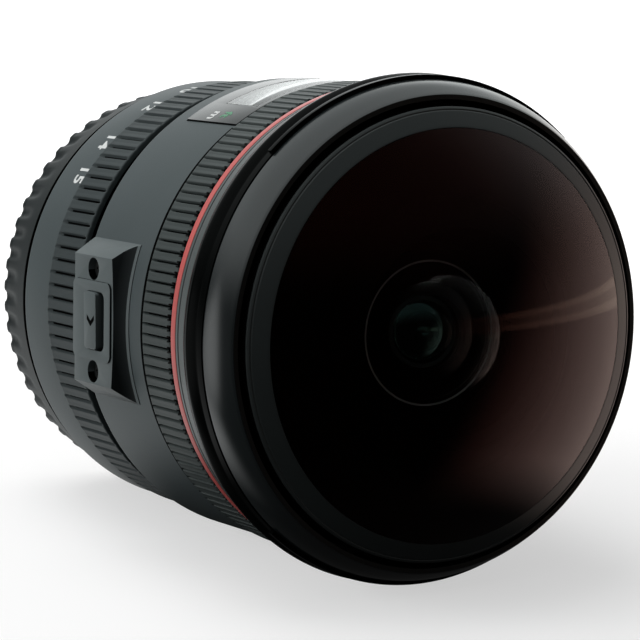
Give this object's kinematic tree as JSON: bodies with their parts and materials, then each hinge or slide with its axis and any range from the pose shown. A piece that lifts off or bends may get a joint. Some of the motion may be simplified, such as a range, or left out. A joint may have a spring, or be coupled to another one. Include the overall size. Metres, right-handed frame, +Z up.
{
  "type": "fisheye zoom lens",
  "caption": "Bayonet-mount fisheye zoom lens with bulging front glass, ribbed zoom and focus rings, red trim ring, distance window and raised slide switch panels",
  "frame": {"origin": "centre of the face that seats on the camera, on the optical axis", "axes": "optical axis along Y, the front of the lens faces -Y and the camera is at +Y; +Z is up as on a level camera, with the distance window on top"},
  "size_m": [0.0786, 0.098, 0.0786],
  "materials": {
    "plated_brass_mount": "satin chrome plate on brass",
    "steel_screws": "plain steel",
    "black_rubber": "moulded rubber",
    "red_enamel": "semi-gloss enamel",
    "black_barrel": "fine matt black paint",
    "black_plastic": "moulded plastic",
    "gold_contacts": "gold plated",
    "circuit_board": "solder mask",
    "dark_aluminium": "black anodised",
    "dark_frame": "smooth dark plate",
    "clear_window": "clear acrylic",
    "black_screws": "blackened steel",
    "gloss_black": "glossy black paint",
    "motor_steel": "ground steel",
    "cam_brass": "machined brass",
    "scale_black": "printed black ring",
    "coated_glass": "coated optical glass",
    "satin_black": "satin black",
    "blade_steel": "blackened spring steel"
  },
  "bodies": {
    "root": {"mount_ring": "plated_brass_mount", "mount_screws": "steel_screws", "mount_gasket": "black_rubber", "mount_dot": "red_enamel", "rear_barrel": "black_barrel", "contact_block": "black_plastic", "contact_pins": "gold_contacts", "filter_holder": "black_plastic", "circuit_board": "circuit_board", "guide_barrel": "dark_aluminium", "barrel_shell": "black_barrel", "window_frame": "dark_frame", "distance_window": "clear_window", "limit_panel": "black_barrel", "mode_panel": "black_barrel", "panel_screws": "black_screws", "front_barrel": "black_barrel", "red_ring": "red_enamel", "hood_ring": "gloss_black", "front_rim": "gloss_black", "motor_stator": "motor_steel"},
    "zoom_ring": {"zoom_ring": "black_barrel", "zoom_grip": "black_rubber", "cam_barrel": "cam_brass"},
    "focus_ring": {"focus_ring": "dark_aluminium", "focus_grip": "black_rubber"},
    "focus_drive": {"distance_scale": "scale_black", "motor_rotor": "motor_steel"},
    "front_group": {"element_1": "coated_glass", "element_2": "coated_glass", "front_cell": "dark_aluminium", "front_retainer": "satin_black", "second_retainer": "satin_black", "front_follower_pins": "steel_screws"},
    "focus_group": {"element_3": "coated_glass", "element_4": "coated_glass", "focus_cell": "dark_aluminium"},
    "rear_group": {"doublet_5_6": "coated_glass", "element_7": "coated_glass", "doublet_8_9": "coated_glass", "element_10": "coated_glass", "doublet_11_12": "coated_glass", "element_13": "coated_glass", "element_14": "coated_glass", "rear_cell": "dark_aluminium", "rear_spacers": "satin_black", "rear_follower_pins": "steel_screws", "aperture_base": "satin_black", "aperture_cover": "satin_black"},
    "aperture_ring": {"aperture_ring": "satin_black"},
    "limit_slider": {"limit_slider": "black_plastic"},
    "mode_slider": {"mode_slider": "black_plastic"},
    "blade_1": {"aperture_blade_1": "blade_steel"},
    "blade_2": {"aperture_blade_2": "blade_steel"},
    "blade_3": {"aperture_blade_3": "blade_steel"},
    "blade_4": {"aperture_blade_4": "blade_steel"},
    "blade_5": {"aperture_blade_5": "blade_steel"},
    "blade_6": {"aperture_blade_6": "blade_steel"},
    "blade_7": {"aperture_blade_7": "blade_steel"}
  },
  "joints": [
    {"name": "zoom_turn", "type": "hinge", "parent": "root", "child": "zoom_ring", "pos_m": [0, 0, 0], "axis": [0, 1, 0], "range_deg": [0, 53]},
    {"name": "front_group_slide", "type": "slide", "parent": "root", "child": "front_group", "axis": [0, 1, 0], "range_m": [0, 0.003]},
    {"name": "rear_group_slide", "type": "slide", "parent": "root", "child": "rear_group", "axis": [0, -1, 0], "range_m": [0, 0.005]},
    {"name": "focus_turn", "type": "hinge", "parent": "root", "child": "focus_ring", "pos_m": [0, 0, 0], "axis": [0, 1, 0], "range_deg": [0, 95]},
    {"name": "focus_drive_turn", "type": "hinge", "parent": "root", "child": "focus_drive", "pos_m": [0, 0, 0], "axis": [0, 1, 0], "range_deg": [0, 48]},
    {"name": "focus_group_slide", "type": "slide", "parent": "front_group", "child": "focus_group", "axis": [0, -1, 0], "range_m": [0, 0.0014]},
    {"name": "aperture_turn", "type": "hinge", "parent": "rear_group", "child": "aperture_ring", "pos_m": [0, 0, 0], "axis": [0, -1, 0], "range_deg": [0, 20]},
    {"name": "blade_1_swing", "type": "hinge", "parent": "rear_group", "child": "blade_1", "pos_m": [0.015, -0.0335, 0], "axis": [0, -1, 0], "range_deg": [0, 25.1]},
    {"name": "blade_2_swing", "type": "hinge", "parent": "rear_group", "child": "blade_2", "pos_m": [0.00935, -0.0335, 0.01173], "axis": [0, -1, 0], "range_deg": [0, 25.1]},
    {"name": "blade_3_swing", "type": "hinge", "parent": "rear_group", "child": "blade_3", "pos_m": [-0.00334, -0.0335, 0.01462], "axis": [0, -1, 0], "range_deg": [0, 25.1]},
    {"name": "blade_4_swing", "type": "hinge", "parent": "rear_group", "child": "blade_4", "pos_m": [-0.01351, -0.0335, 0.00651], "axis": [0, -1, 0], "range_deg": [0, 25.1]},
    {"name": "blade_5_swing", "type": "hinge", "parent": "rear_group", "child": "blade_5", "pos_m": [-0.01351, -0.0335, -0.00651], "axis": [0, -1, 0], "range_deg": [0, 25.1]},
    {"name": "blade_6_swing", "type": "hinge", "parent": "rear_group", "child": "blade_6", "pos_m": [-0.00334, -0.0335, -0.01462], "axis": [0, -1, 0], "range_deg": [0, 25.1]},
    {"name": "blade_7_swing", "type": "hinge", "parent": "rear_group", "child": "blade_7", "pos_m": [0.00935, -0.0335, -0.01173], "axis": [0, -1, 0], "range_deg": [0, 25.1]},
    {"name": "limit_switch", "type": "slide", "parent": "root", "child": "limit_slider", "axis": [0, -1, 0], "range_m": [0, 0.0018]},
    {"name": "mode_switch", "type": "slide", "parent": "root", "child": "mode_slider", "axis": [0, -1, 0], "range_m": [0, 0.0018]}
  ],
  "couplings": [
    {"joint": "front_group_slide", "follows": "zoom_turn", "m_per_rad": 0.00324},
    {"joint": "rear_group_slide", "follows": "zoom_turn", "m_per_rad": 0.0054},
    {"joint": "focus_drive_turn", "follows": "focus_turn", "ratio": 0.5},
    {"joint": "focus_group_slide", "follows": "focus_turn", "m_per_rad": 0.000844},
    {"joint": "blade_1_swing", "follows": "aperture_turn", "ratio": 1.25},
    {"joint": "blade_2_swing", "follows": "aperture_turn", "ratio": 1.25},
    {"joint": "blade_3_swing", "follows": "aperture_turn", "ratio": 1.25},
    {"joint": "blade_4_swing", "follows": "aperture_turn", "ratio": 1.25},
    {"joint": "blade_5_swing", "follows": "aperture_turn", "ratio": 1.25},
    {"joint": "blade_6_swing", "follows": "aperture_turn", "ratio": 1.25},
    {"joint": "blade_7_swing", "follows": "aperture_turn", "ratio": 1.25}
  ]
}
